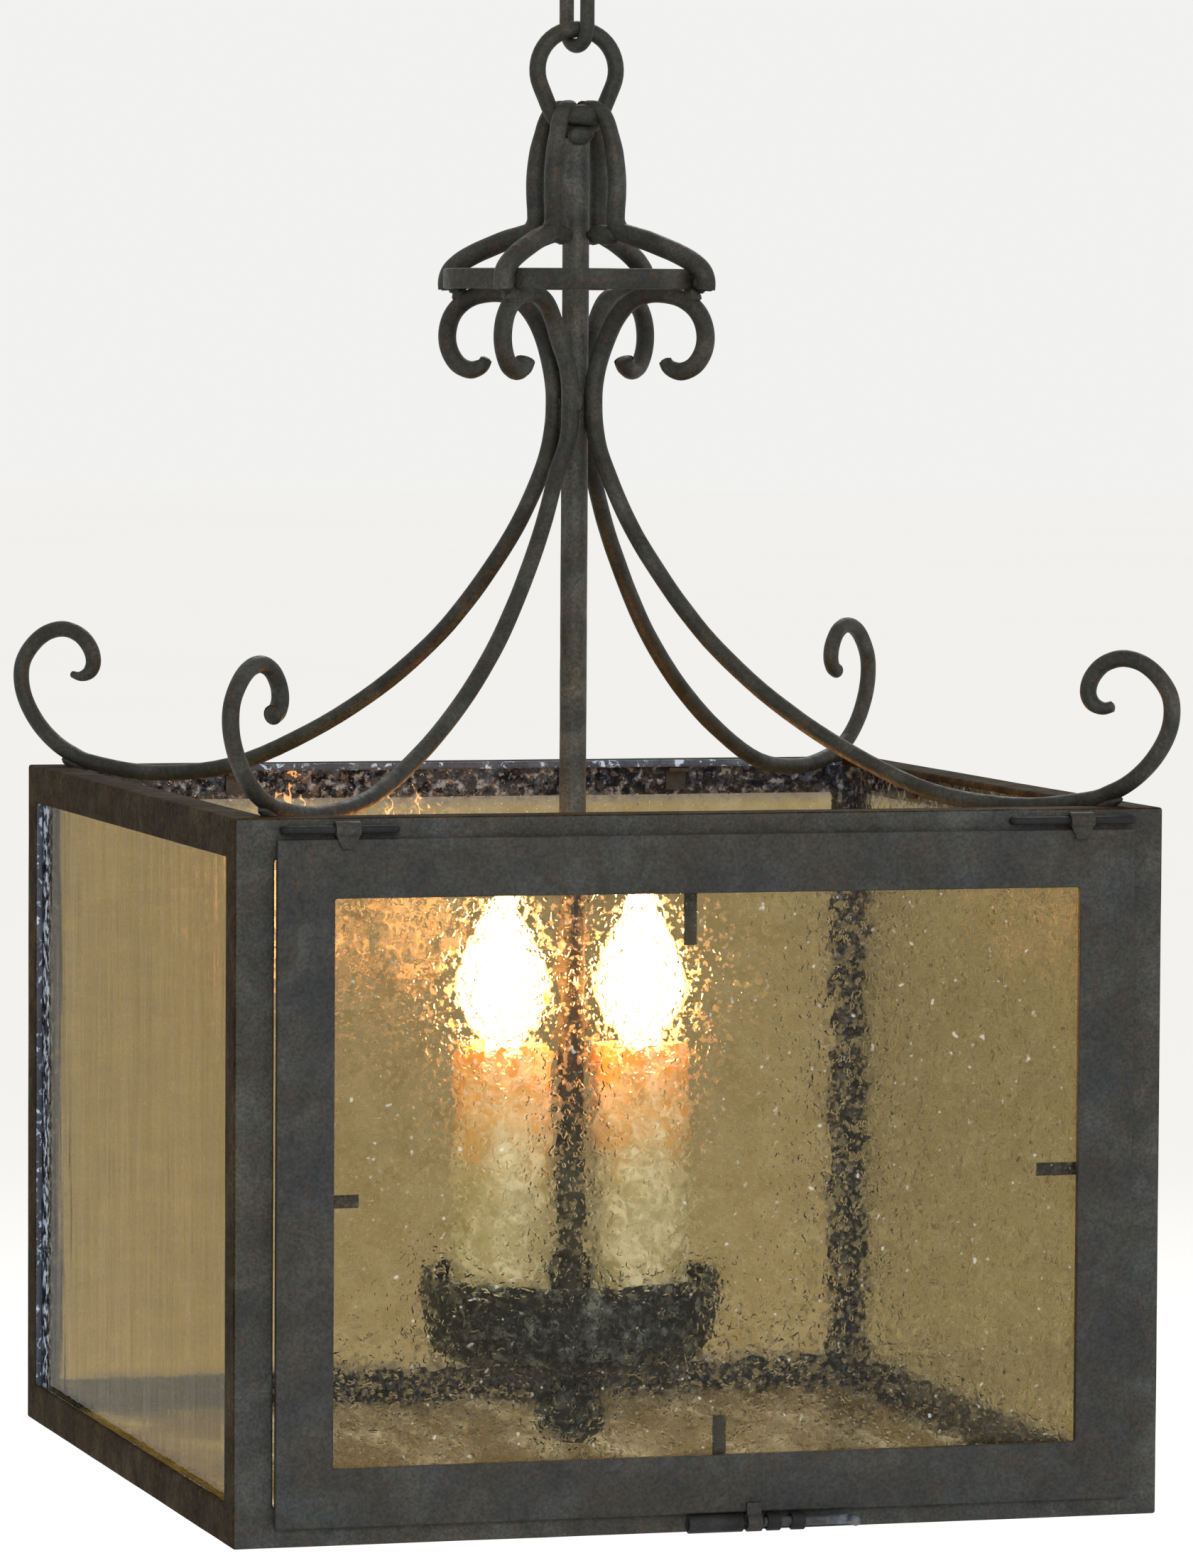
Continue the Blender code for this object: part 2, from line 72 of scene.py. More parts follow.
# How far each arm leans round the tube at its waist, in degrees
LEANS = {"front_right": -8, "back_right": 0, "back_left": 0, "front_left": 18}
WAIST_HEIGHT = 0.398
WAIST_REACH = 0.020
# How thick an arm is at its hook and at its curl, against the rest of it
HOOK_TIPS = {"front_right": 0.68, "back_right": 1.12, "back_left": 0.62, "front_left": 1.12}
CURL_TIPS = {"front_right": 0.66, "back_right": 0.95, "back_left": 0.42, "front_left": 1.18}
# Points of the path left off where a curl ends in a blunt cut
BLUNT = {"front_right": 0, "back_right": 5, "back_left": 0, "front_left": 5}
ROD_RADIUS = 0.00316

# Half sections of the turned pieces, as (radius, height above the underside of the box)
DISH_PROFILE = [
    (0.0, 0.0387), (0.022, 0.0392), (0.036, 0.0405), (0.0455, 0.0432), (0.0505, 0.0480),
    (0.0530, 0.0560), (0.0545, 0.0650), (0.0552, 0.0715), (0.0560, 0.0730), (0.0568, 0.0730),
    (0.0572, 0.0715), (0.0569, 0.0650), (0.0558, 0.0560), (0.0530, 0.0462), (0.0470, 0.0408),
    (0.0360, 0.0381), (0.022, 0.0368), (0.0, 0.0362),
]
FINIAL_PROFILE = [
    (0.0, 0.0362), (0.0088, 0.0357), (0.0099, 0.0345), (0.0098, 0.0330), (0.0082, 0.0312),
    (0.0098, 0.0292), (0.0118, 0.0270), (0.0131, 0.0240), (0.0134, 0.0210), (0.0130, 0.0178),
    (0.0120, 0.0147), (0.0103, 0.0120), (0.0083, 0.0099), (0.0062, 0.0084), (0.0040, 0.0076),
    (0.0, 0.0071),
]
FLAME_PROFILE = [
    (0.0, 0.2350), (0.0009, 0.2346), (0.0016, 0.2330), (0.0026, 0.2270), (0.0036, 0.2190),
    (0.0056, 0.2110), (0.0098, 0.2020), (0.0149, 0.1925), (0.0177, 0.1835), (0.0173, 0.1755),
    (0.0138, 0.1680), (0.0084, 0.1615), (0.0065, 0.1568), (0.0, 0.1568),
]

# The two arcs of the ring and of the link, as (radius, height of the centre)
RING_ARCS = ((0.0110, 0.5120), (0.0152, 0.5228))
LINK_ARCS = ((0.0069, 0.538625), (0.0069, 0.5524))
LINK_TURN = math.radians(107.6)
LINK_WIRE = 0.00277

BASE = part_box("bottom_rail_front")[0].z
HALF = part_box("bottom_rail_right")[1].x
BOX_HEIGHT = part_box("top_rail_front")[1].z - BASE
DOOR_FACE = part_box("door_frame")[0].y - 0.0003
ANGLE_LEG = 0.0145
ANGLE_THICK = 0.003
DOOR_BAR = 0.021
BAND_THICK = 0.003
PIN_RADIUS = 0.0015
PIN_BEND = 0.0014
BOLT_RADIUS = 0.0018
BOLT_BEND = 0.0018
STRAP_THICK = 0.00115
SOCKET_BORE = 0.0128
PANE_STEP = 0.004
PANE_LUMP = 0.00012
FLOOR_DROP = 0.25

# Stands an outline up along the front: its x points into the box and its y up
STANDING = Matrix(((0, 0, 1), (1, 0, 0), (0, 1, 0))).to_4x4()
# Steps round a quarter bend, without its two ends
QUARTER = [math.radians(degrees) for degrees in (22, 45, 68)]

# Casts that shift the iron's colour in patches
COOL = (0.92, 1.0, 1.08, 1.0)
BROWN = (1.08, 1.0, 0.86, 1.0)


def level(height):
    """Row-frame Z of a height above the underside of the box."""
    return BASE + height


def linear(red, green, blue):
    """A linear colour from one as a screen shows it, each part 0 to 255."""
    parts = []
    for value in (red, green, blue):
        value /= 255
        parts.append(value / 12.92 if value <= 0.04045 else ((value + 0.055) / 1.055) ** 2.4)
    return (*parts, 1.0)


# ---------------------------------------------------------------- materials

class Shading:
    """A material's node tree, with short ways to add the nodes used here."""

    def __init__(self, name):
        self.material = bpy.data.materials.new(name)
        self.material.use_nodes = True
        self.tree = self.material.node_tree
        self.shader = self.tree.nodes["Principled BSDF"]
        self.place = self.tree.nodes.new("ShaderNodeTexCoord").outputs["Object"]

    def add(self, kind):
        return self.tree.nodes.new("ShaderNode" + kind)

    def link(self, source, target):
        self.tree.links.new(source, target)

    def set(self, **values):
        for name, value in values.items():
            self.shader.inputs[name.replace("_", " ")].default_value = value

    def scaled(self, x, y, z):
        node = self.add("Mapping")
        self.link(self.place, node.inputs["Vector"])
        node.inputs["Scale"].default_value = (x, y, z)
        return node.outputs["Vector"]

    def noise(self, scale, detail=3.0, rough=0.55, distortion=0.0, where=None):
        node = self.add("TexNoise")
        self.link(where or self.place, node.inputs["Vector"])
        node.inputs["Scale"].default_value = scale
        node.inputs["Detail"].default_value = detail
        node.inputs["Roughness"].default_value = rough
        node.inputs["Distortion"].default_value = distortion
        return node.outputs["Fac"]

    def ramp(self, factor, *stops):
        node = self.add("ValToRGB")
        self.link(factor, node.inputs["Fac"])
        elements = node.color_ramp.elements
        while len(elements) < len(stops):
            elements.new(0.5)
        for element, (position, colour) in zip(elements, stops):
            element.position = position
            element.color = colour if isinstance(colour, tuple) else (colour, colour, colour, 1.0)
        return node.outputs["Color"]

    def math(self, operation, first, second):
        node = self.add("Math")
        node.operation = operation
        for socket, value in zip(node.inputs, (first, second)):
            if isinstance(value, (int, float)):
                socket.default_value = value
            else:
                self.link(value, socket)
        return node.outputs["Value"]

    def mix(self, factor, first, second, blend="MIX"):
        node = self.add("Mix")
        node.data_type = "RGBA"
        node.blend_type = blend
        sockets = (node.inputs[0], node.inputs[6], node.inputs[7])
        for socket, value in zip(sockets, (factor, first, second)):
            if isinstance(value, (int, float, tuple)):
                socket.default_value = value
            else:
                self.link(value, socket)
        return node.outputs[2]

    def height(self):
        """The height above the underside of the box, in metres."""
        node = self.add("SeparateXYZ")
        self.link(self.place, node.inputs["Vector"])
        return self.math("SUBTRACT", node.outputs["Z"], BASE)

    def near_iron(self, edges):
        """1 where a pane lies over the frame's flanges.

        X, Y and Z stand for both of its ends along that axis, and y for the back one alone, with
        the strip beside it.
        """
        split = self.add("SeparateXYZ")
        self.link(self.place, split.inputs["Vector"])
        near = 0.0
        for axis in edges:
            if axis == "Z":
                reach = self.math("SUBTRACT", self.height(), BOX_HEIGHT / 2)
                start = BOX_HEIGHT / 2 - ANGLE_LEG
            else:
                reach = split.outputs[axis.upper()]
                start = HALF - (0.026 if axis == "y" else ANGLE_LEG)
            if axis != "y":
                reach = self.math("ABSOLUTE", reach, 0.0)
            border = self.ramp(reach, (start - 0.001, 0.0), (start + 0.0005, 1.0))
            near = self.math("MAXIMUM", near, border)
        return near

    def bump(self, height, distance, strength=1.0, onto=None):
        node = self.add("Bump")
        node.inputs["Distance"].default_value = distance
        node.inputs["Strength"].default_value = strength
        self.link(height, node.inputs["Height"])
        if onto is not None:
            self.link(onto, node.inputs["Normal"])
        return node.outputs["Normal"]


def iron_material(name, tones, shine=0.32, flecks=None, painted_glow=None):
    """Patinated iron: dark, middle and light tones in soft blotches, with warm spots and a grain.

    Flecks are the scale of their noise, where they start and are full, their weight and tone. The
    painted glow gives the iron and its flecks two emitted tones: painted light, where no lamp is.
    """
    s = Shading(name)
    dark, middle, light, warm = (linear(*tone) for tone in tones)
    colour = s.ramp(s.noise(55, 4, 0.6, 0.4), (0.30, dark), (0.50, middle), (0.72, light))
    hue = s.ramp(s.noise(34, 3, 0.6), (0.38, COOL), (0.50, 1.0), (0.64, BROWN))
    colour = s.mix(1.0, colour, hue, "MULTIPLY")
    spots = s.ramp(s.noise(210, 3, 0.6), (0.56, 0.0), (0.74, 0.75))
    colour = s.mix(spots, colour, warm)
    grain = s.ramp(s.noise(900, 2, 0.6), (0.30, 0.62), (0.70, 1.45))
    colour = s.mix(1.0, colour, grain, "MULTIPLY")
    if flecks:
        scale, start, full, weight, tone = flecks
        pale = s.ramp(s.noise(scale, 4, 0.6, 0.5), (start, 0.0), (full, weight))
        colour = s.mix(pale, colour, linear(*tone))
        # Painted light: the iron and its flecks give off the glow tones, though no lamp is there
        if painted_glow:
            plain, bright = (linear(*tone) for tone in painted_glow)
            s.link(s.mix(pale, plain, bright), s.shader.inputs["Emission Color"])
            s.set(Emission_Strength=1.0)
    s.link(colour, s.shader.inputs["Base Color"])
    rough = s.ramp(s.noise(320, 3, 0.6), (0.3, 0.48), (0.7, 0.72))
    s.link(rough, s.shader.inputs["Roughness"])
    s.set(Metallic=0.2, Specular_IOR_Level=shine)
    normal = s.bump(s.noise(260, 4, 0.62), 0.00040)
    normal = s.bump(s.noise(1100, 2, 0.6), 0.00010, onto=normal)
    s.link(normal, s.shader.inputs["Normal"])
    return s.material


def glass_material(name, tint, pale, ior, waves=1.4, cloudy=90, glint_weight=0.05, stretch=(1, 1, 1),
                   seeding=1.4, frosting=0.36, edges="", flaking=0.52, start=0.38, full=0.64,
                   glint_tone=(226, 230, 236)):
    """Seeded glass: soft waves, frosted seeds that spread light, and pale specks that are painted
    glints.

    Its colour clouds between the tint and the pale one. Edges are the borders that lie over the
    frame's flanges, as near_iron takes them: there it turns a darker grey with pale painted glints.
    """
    s = Shading(name)
    where = s.scaled(*stretch)
    colour = s.ramp(s.noise(cloudy, 4, 0.62, 0.6, where), (start, tint), (full, pale))
    # Painted glints: pale specks in two sizes, whitish and letting no light through
    small = s.ramp(s.noise(620, 2, 0.5), (0.60, 0.0), (0.74, glint_weight))
    large = s.ramp(s.noise(360, 1, 0.4), (0.74, 0.0), (0.79, glint_weight * 8))
    glint_mask = s.math("MAXIMUM", small, large)
    if edges:
        # Over the flanges: a darker grey tint, with pale flakes as painted glints
        near = s.near_iron(edges)
        flake_glints = s.ramp(s.noise(260, 3, 0.6), (flaking, 0.0), (flaking + 0.12, 0.85))
        glint_mask = s.math("MAXIMUM", glint_mask, s.math("MULTIPLY", near, flake_glints))
        colour = s.mix(near, colour, linear(112, 108, 114))
    s.link(s.mix(glint_mask, colour, linear(*glint_tone)), s.shader.inputs["Base Color"])
    s.link(s.math("SUBTRACT", 1.0, glint_mask), s.shader.inputs["Transmission Weight"])
    frosted = s.ramp(s.noise(330, 2, 0.5), (0.54, 0.02), (0.66, frosting))
    s.link(frosted, s.shader.inputs["Roughness"])
    s.set(IOR=ior)
    normal = s.bump(s.noise(78, 2, 0.5, 0.0, where), 0.00040 * waves)
    seeds = s.ramp(s.noise(430, 1, 0.4), (0.62, 0.0), (0.72, 1.0))
    normal = s.bump(seeds, 0.00009 * seeding, onto=normal)
    s.link(normal, s.shader.inputs["Normal"])
    # Light that casts shadows passes straight through, tinted, so that the box isn't dark inside
    clear = s.add("BsdfTransparent")
    clear.inputs["Color"].default_value = tint
    path = s.add("LightPath")
    blend = s.add("MixShader")
    s.link(path.outputs["Is Shadow Ray"], blend.inputs["Fac"])
    s.link(s.shader.outputs["BSDF"], blend.inputs[1])
    s.link(clear.outputs["BSDF"], blend.inputs[2])
    s.link(blend.outputs["Shader"], s.tree.nodes["Material Output"].inputs["Surface"])
    return s.material


def wax_material():
    """Candle covers: yellowed cream, pale and olive marbling; orange top and glow are painted lamp
    light.
    """
    s = Shading("candle_wax")
    rise = s.math("DIVIDE", s.height(), 0.16)
    rise = s.math("ADD", rise, s.math("MULTIPLY", s.math("SUBTRACT", s.noise(70, 3), 0.5), 0.22))
    # Painted lamp light: the cream turns orange towards the top
    body = s.ramp(rise, (0.25, linear(194, 180, 139)), (0.66, linear(194, 182, 140)),
                  (0.86, linear(240, 192, 118)), (0.97, linear(255, 170, 70)))
    marble = s.ramp(s.noise(80, 4, 0.6, 1.6), (0.45, 0.0), (0.57, 0.8))
    body = s.mix(marble, body, linear(246, 240, 218))
    veins = s.ramp(s.noise(44, 4, 0.6, 2.2), (0.52, 0.0), (0.62, 0.55))
    body = s.mix(veins, body, linear(182, 162, 100))
    s.link(body, s.shader.inputs["Base Color"])
    # Painted light: an orange glow near the top and a faint glow through all the wax
    painted_lamp_glow = s.ramp(rise, (0.72, linear(0, 0, 0)), (0.88, linear(128, 58, 8)),
                  (1.0, linear(222, 122, 36)))
    inner = s.mix(marble, (0.020, 0.024, 0.016, 1.0), (0.110, 0.105, 0.070, 1.0))
    s.link(s.mix(1.0, painted_lamp_glow, inner, "ADD"), s.shader.inputs["Emission Color"])
    s.set(Emission_Strength=1.0, Roughness=0.42, Subsurface_Weight=0.15, Subsurface_Scale=0.004)
    s.link(s.bump(s.noise(120, 3, 0.5), 0.0012), s.shader.inputs["Normal"])
    return s.material


def bulb_material():
    """Lit lamp glass with a white heart and an orange rim."""
    s = Shading("lit_bulb")
    facing = s.add("LayerWeight")
    facing.inputs["Blend"].default_value = 0.5
    colour = s.ramp(facing.outputs["Facing"], (0.0, (1.0, 0.50, 0.18, 1.0)),
                    (0.45, (1.0, 0.40, 0.11, 1.0)), (0.8, (0.16, 0.052, 0.010, 1.0)))
    s.link(colour, s.shader.inputs["Emission Color"])
    s.link(colour, s.shader.inputs["Base Color"])
    s.set(Emission_Strength=24.0, Roughness=0.1)
    return s.material


def socket_material():
    """Dull brass."""
    s = Shading("socket_brass")
    colour = s.ramp(s.noise(240, 3), (0.3, linear(132, 104, 54)), (0.7, linear(184, 152, 84)))
    s.link(colour, s.shader.inputs["Base Color"])
    s.link(s.ramp(s.noise(500, 2), (0.3, 0.25), (0.7, 0.45)), s.shader.inputs["Roughness"])
    s.set(Metallic=0.9)
    return s.material


FRONT_IRON = iron_material("iron_front", ((35, 36, 35), (43, 43, 41), (54, 55, 53), (56, 43, 34)))
RAIL_IRON = iron_material("iron_frame", ((37, 37, 35), (47, 47, 44), (63, 64, 61), (64, 49, 36)))
# Painted shade: a browner copy of the frame's iron with no shine, for its sides and upward faces
SHADED_SIDE_IRON = iron_material("iron_side_painted_shade", ((34, 27, 18), (46, 38, 27), (66, 56, 41), (70, 48, 28)),
                          shine=0.0)
# Painted highlight: a pale, shiny iron for the bolt, its pale tones standing in for the light along it
BOLT_HIGHLIGHT_IRON = iron_material("iron_bolt_painted_highlight", ((34, 35, 38), (66, 69, 74), (116, 120, 128), (70, 60, 50)),
                          shine=0.5)
# Painted light: the frame's inward faces glow a cool grey, and their pale flecks glow brighter as
# painted glints
GLOWING_INNER_IRON = iron_material("iron_inner_painted_glow", ((28, 27, 32), (44, 45, 54), (74, 80, 92), (54, 42, 40)),
                           shine=0.3, flecks=(300, 0.56, 0.64, 0.8, (150, 166, 184)),
                           painted_glow=((42, 50, 57), (132, 150, 168)))
# Painted shade: near-black iron for the hinge pins and the latch guides, which sit in shadow
SHADOW_DARK_PIN_IRON = iron_material("iron_pin_painted_shade", ((10, 10, 12), (18, 18, 20), (34, 35, 38), (30, 24, 20)))
ROD_IRON = iron_material("iron_rod", ((28, 28, 24), (40, 40, 35), (58, 58, 53), (66, 44, 30)))
TUBE_IRON = iron_material("iron_tube", ((42, 41, 37), (60, 60, 55), (84, 82, 76), (74, 52, 44)))
CAST_IRON = iron_material("iron_dish", ((9, 11, 12), (19, 22, 23), (40, 46, 48), (32, 24, 18)),
                          flecks=(140, 0.53, 0.62, 0.72, (132, 146, 154)))

# Each pane's tint suits the light behind it as the camera sees it
DOOR_GLASS = glass_material("glass_door", (0.72, 0.69, 0.59, 1.0), (0.80, 0.77, 0.67, 1.0), 1.20,
                            seeding=1.7)
LEFT_GLASS = glass_material("glass_left", (0.54, 0.43, 0.115, 1.0), (0.62, 0.49, 0.18, 1.0), 1.07,
                            waves=0.9, cloudy=30, glint_weight=0.01, stretch=(1, 1, 0.16), seeding=0.1,
                            frosting=0.12, edges="y", flaking=0.46, glint_tone=(196, 212, 230))
RIGHT_GLASS = glass_material("glass_right", (0.34, 0.268, 0.112, 1.0), (0.42, 0.345, 0.175, 1.0), 1.5,
                             edges="YZ", glint_tone=(136, 156, 174))
BACK_GLASS = glass_material("glass_back", (0.35, 0.256, 0.108, 1.0), (0.44, 0.345, 0.180, 1.0), 1.5,
                            edges="XZ", glint_tone=(136, 156, 174))
FLOOR_GLASS = glass_material("glass_floor", (0.17, 0.112, 0.034, 1.0), (0.80, 0.70, 0.47, 1.0), 1.15,
                             waves=1.0, cloudy=55, stretch=(1, 0.24, 1), seeding=1.0, start=0.46,
                             full=0.68)
WAX = wax_material()
BULB = bulb_material()
BRASS = socket_material()


# ---------------------------------------------------------------- mesh helpers

def add_piece(name, mesh, material, slot, body, *nodes):
    """Links a mesh made in the row frame, as a piece that rides on a body."""
    obj = bpy.data.objects.new(name, mesh)
    bpy.context.scene.collection.objects.link(obj)
    mesh.materials.clear()
    mesh.materials.append(material)
    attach(obj, body)
    if nodes:
        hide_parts(*nodes)
    return obj


def mesh_from(name, verts, faces, smooth_angle=35):
    """A smooth-shaded mesh with its faces turned outwards, sharp where they meet past an angle."""
    mesh = bpy.data.meshes.new(name)
    mesh.from_pydata([tuple(v) for v in verts], [], faces)
    mesh.validate()
    shape = bmesh.new()
    shape.from_mesh(mesh)
    bmesh.ops.remove_doubles(shape, verts=shape.verts, dist=1e-7)
    bmesh.ops.recalc_face_normals(shape, faces=shape.faces)
    shape.to_mesh(mesh)
    shape.free()
    mesh.shade_smooth()
    mesh.set_sharp_from_angle(angle=math.radians(smooth_angle))
    return mesh


def joined(name, meshes, smooth_angle=35):
    """One mesh of several."""
    verts, faces = [], []
    for mesh in meshes:
        start = len(verts)
        verts += [v.co.copy() for v in mesh.vertices]
        faces += [tuple(start + i for i in polygon.vertices) for polygon in mesh.polygons]
    return mesh_from(name, verts, faces, smooth_angle)


def ring_faces(rings, sides, closed=False):
    """The quads between each ring of points and the next, and back to the first one if closed."""
    faces = []
    for i in range(rings if closed else rings - 1):
        a, b = i * sides, (i + 1) % rings * sides
        for k in range(sides):
            n = (k + 1) % sides
            faces.append((a + k, a + n, b + n, b + k))
    return faces


def bevelled(mesh, width, segments=2, angle=30):
    """The mesh with its sharp edges rounded."""
    obj = bpy.data.objects.new("bevel_work", mesh)
    bpy.context.scene.collection.objects.link(obj)
    bevel = obj.modifiers.new("bevel", "BEVEL")
    bevel.width = width
    bevel.segments = segments
    bevel.limit_method = "ANGLE"
    bevel.angle_limit = math.radians(angle)
    evaluated = obj.evaluated_get(bpy.context.evaluated_depsgraph_get())
    result = bpy.data.meshes.new_from_object(evaluated)
    bpy.data.objects.remove(obj)
    result.name = mesh.name + "_bevelled"
    result.shade_smooth()
    result.set_sharp_from_angle(angle=math.radians(50))
    return result


def worn(mesh, depth, scale):
    """Sinks the surface by up to a depth, in soft dents, and never lifts it."""
    normals = [v.normal.copy() for v in mesh.vertices]
    for vert, normal in zip(mesh.vertices, normals):
        low = 0.5 + 0.5 * noise.noise(vert.co * scale)
        fine = 0.5 + 0.5 * noise.noise(vert.co * scale * 3.7 + Vector((3.1, 1.7, 5.3)))
        vert.co -= normal * depth * (0.7 * low + 0.3 * fine)
    return mesh


def smooth_path(points, steps):
    """Points along a Catmull-Rom curve through the given points, steps to a span."""
    ends = [points[0]] + list(points) + [points[-1]]
    path = []
    for before, start, end, after in zip(ends, ends[1:], ends[2:], ends[3:]):
        for step in range(steps):
            t = step / steps
            path.append(tuple(
                0.5 * (2 * b + (c - a) * t + (2 * a - 5 * b + 4 * c - d) * t * t
                       + (3 * b - a - 3 * c + d) * t ** 3)
                for a, b, c, d in zip(before, start, end, after)))
    path.append(tuple(points[-1]))
    return path


def sweep(name, points, radius, sides=16, closed=False, rough=0.05, chamfer=0.35, seed=0.0):
    """A round bar along the points, slightly uneven as forged work is, with chamfered ends.

    The radius is one number, or one for each point.
    """
    points = [Vector(p) for p in points]
    count = len(points)
    radii = list(radius) if isinstance(radius, list) else [radius] * count
    tangents = []
    for i in range(count):
        if closed:
            tangents.append((points[(i + 1) % count] - points[i - 1]).normalized())
        else:
            tangents.append((points[min(i + 1, count - 1)] - points[max(i - 1, 0)]).normalized())
    side = tangents[0].orthogonal().normalized()
    frames = []
    for i, tangent in enumerate(tangents):
        side = (side - tangent * side.dot(tangent)).normalized()
        frames.append((points[i], side.copy(), tangent.cross(side)))
    if not closed:
        first, last = frames[0], frames[-1]
        frames[0] = (points[0] + tangents[0] * radii[0] * chamfer, *first[1:])
        frames[-1] = (points[-1] - tangents[-1] * radii[-1] * chamfer, *last[1:])
        frames = [first] + frames + [last]
        radii = [radii[0] * (1 - chamfer)] + radii + [radii[-1] * (1 - chamfer)]
    verts = []
    for (centre, across, upward), size in zip(frames, radii):
        for k in range(sides):
            angle = 2 * math.pi * k / sides
            ray = across * math.cos(angle) + upward * math.sin(angle)
            spot = (centre + ray * size) * 95 + Vector((seed, seed, 0))
            uneven = 1 - rough * (0.5 + 0.5 * noise.noise(spot))
            verts.append(centre + ray * size * uneven)
    rings = len(frames)
    faces = ring_faces(rings, sides, closed)
    if not closed:
        faces.append(tuple(range(sides))[::-1])
        faces.append(tuple((rings - 1) * sides + k for k in range(sides)))
    return mesh_from(name, verts, faces, 50)


def lathe(name, profile, centre, steps=48, rough=0.0, scale=120.0):
    """A turned shape about an upright axis. The profile is (radius, height above the underside)."""
    verts = []
    for radius, height in profile:
        for k in range(steps):
            angle = 2 * math.pi * k / steps
            ray = Vector((math.cos(angle), math.sin(angle), 0))
            uneven = 1.0
            if rough:
                spot = (ray * radius + Vector((0, 0, height))) * scale
                uneven = 1 - rough * (0.5 + 0.5 * noise.noise(spot))
            verts.append(Vector(centre) + ray * radius * uneven + Vector((0, 0, level(height))))
    return mesh_from(name, verts, ring_faces(len(profile), steps), 40)


def lattice(name, xs, ys, zs, filled):
    """The skin of the filled cells of a grid."""
    grid = {}
    verts, faces = [], []

    def vertex(i, j, k):
        if (i, j, k) not in grid:
            grid[i, j, k] = len(verts)
            verts.append((xs[i], ys[j], zs[k]))
        return grid[i, j, k]

    def solid(i, j, k):
        if not (0 <= i < len(xs) - 1 and 0 <= j < len(ys) - 1 and 0 <= k < len(zs) - 1):
            return False
        return filled((xs[i] + xs[i + 1]) / 2, (ys[j] + ys[j + 1]) / 2, (zs[k] + zs[k + 1]) / 2)

    def wall(cell, axis, end):
        """The corners of a cell's wall at one end of an axis."""
        corners = []
        for first, second in ((0, 0), (0, 1), (1, 1), (1, 0)):
            corner = list(cell)
            corner[axis] += end
            corner[axis - 2] += first
            corner[axis - 1] += second
            corners.append(vertex(*corner))
        return corners

    for cell in product(range(len(xs) - 1), range(len(ys) - 1), range(len(zs) - 1)):
        if not solid(*cell):
            continue
        for axis, end in product(range(3), (0, 1)):
            beyond = list(cell)
            beyond[axis] += 2 * end - 1
            if not solid(*beyond):
                faces.append(wall(cell, axis, end))
    return mesh_from(name, verts, faces)


def spread(*stops, spacing=0.014):
    """The stops, with even steps no longer than the spacing between them."""
    values = [stops[0]]
    for start, end in zip(stops, stops[1:]):
        count = max(1, round((end - start) / spacing))
        values += [start + (end - start) * (i + 1) / count for i in range(count)]
    return values


def prism(name, outline, low, high, matrix, bevel=0.0002, segments=2):
    """A flat outline extruded from low to high along its own Z, then placed by a matrix."""
    count = len(outline)
    verts = [matrix @ Vector((x, y, z)) for z in (low, high) for x, y in outline]
    faces = [tuple(range(count))[::-1], tuple(range(count, 2 * count))]
    faces += [(i, (i + 1) % count, count + (i + 1) % count, count + i) for i in range(count)]
    return bevelled(mesh_from(name, verts, faces, 30), bevel, segments, 35)


def pebble(centre, size, rough, seed, direction=(0, 0, 1)):
    """A lumpy bead of weld, its longest side along a direction."""
    mesh = bpy.data.meshes.new("pebble")
    shape = bmesh.new()
    bmesh.ops.create_icosphere(shape, subdivisions=3, radius=1.0)
    turn = Vector(direction).normalized().to_track_quat("Z", "Y").to_matrix()
    for vert in shape.verts:
        swell = 1 + rough * noise.noise(vert.co * 1.9 + Vector((seed, seed * 2, 7)))
        vert.co = Vector(centre) + turn @ Vector([c * s * swell for c, s in zip(vert.co, size)])
    shape.to_mesh(mesh)
    shape.free()
    return mesh


def around(radius, height, degrees):
    """A point at a distance and an angle from the centre line."""
    angle = math.radians(degrees)
    return Vector((radius * math.cos(angle), radius * math.sin(angle), level(height)))


# ---------------------------------------------------------------- the iron work

def forge_arm(corner, degrees, seed):
    """A scroll arm: a hook at the crown, a lean round the tube and a curl over its corner."""
    whole = smooth_path(ARM_PATH, 5)
    path = whole[:len(whole) - BLUNT[corner]]
    hook = HOOK_TIPS[corner] - 1
    curl = CURL_TIPS[corner] - 1
    route, radii = [], []
    for place, (r, h) in enumerate(path):
        at_waist = math.exp(-((h - WAIST_HEIGHT) / WAIST_REACH) ** 4 - (r / WAIST_REACH) ** 4)
        route.append(around(r, h, degrees + LEANS[corner] * at_waist))
        swell = 0.11 / (1 + math.exp((0.385 - h) / 0.006))
        at_hook = math.exp(-(place / 6) ** 2)
        at_curl = math.exp(-((len(path) - 1 - place) / 8) ** 2)
        radii.append(ROD_RADIUS * (1 + swell + hook * at_hook + curl * at_curl))
    arm = sweep("arm", route, radii, seed=seed)
    add_piece("forged_arm_" + corner, arm, ROD_IRON, "iron", "lantern", "scroll_arm_" + corner)


def forge_cage_rod(corner, degrees, seed):
    """A cage rod: from the crown band up and over the ring, thicker lower down."""
    cage = smooth_path(CAGE_PATH, 5)
    radii = []
    for r, h in cage:
        below_top = min(1.0, max(0.0, (0.4985 - h) / 0.006))
        in_band = min(1.0, max(0.0, (0.466 - h) / 0.006))
        radii.append(ROD_RADIUS + 0.00042 * below_top + 0.0003 * in_band)
    rod = sweep("cage", [around(r, h, degrees) for r, h in cage], radii, rough=0.03, seed=seed)
    add_piece("forged_cage_rod_" + corner, rod, ROD_IRON, "iron", "lantern", "cage_rod_" + corner)


def make_rods():
    """An arm and a cage rod for each corner."""
    for number, (corner, degrees) in enumerate(CORNERS.items()):
        forge_arm(corner, degrees, number * 4.1)
        forge_cage_rod(corner, degrees, 9 + number * 2.3)


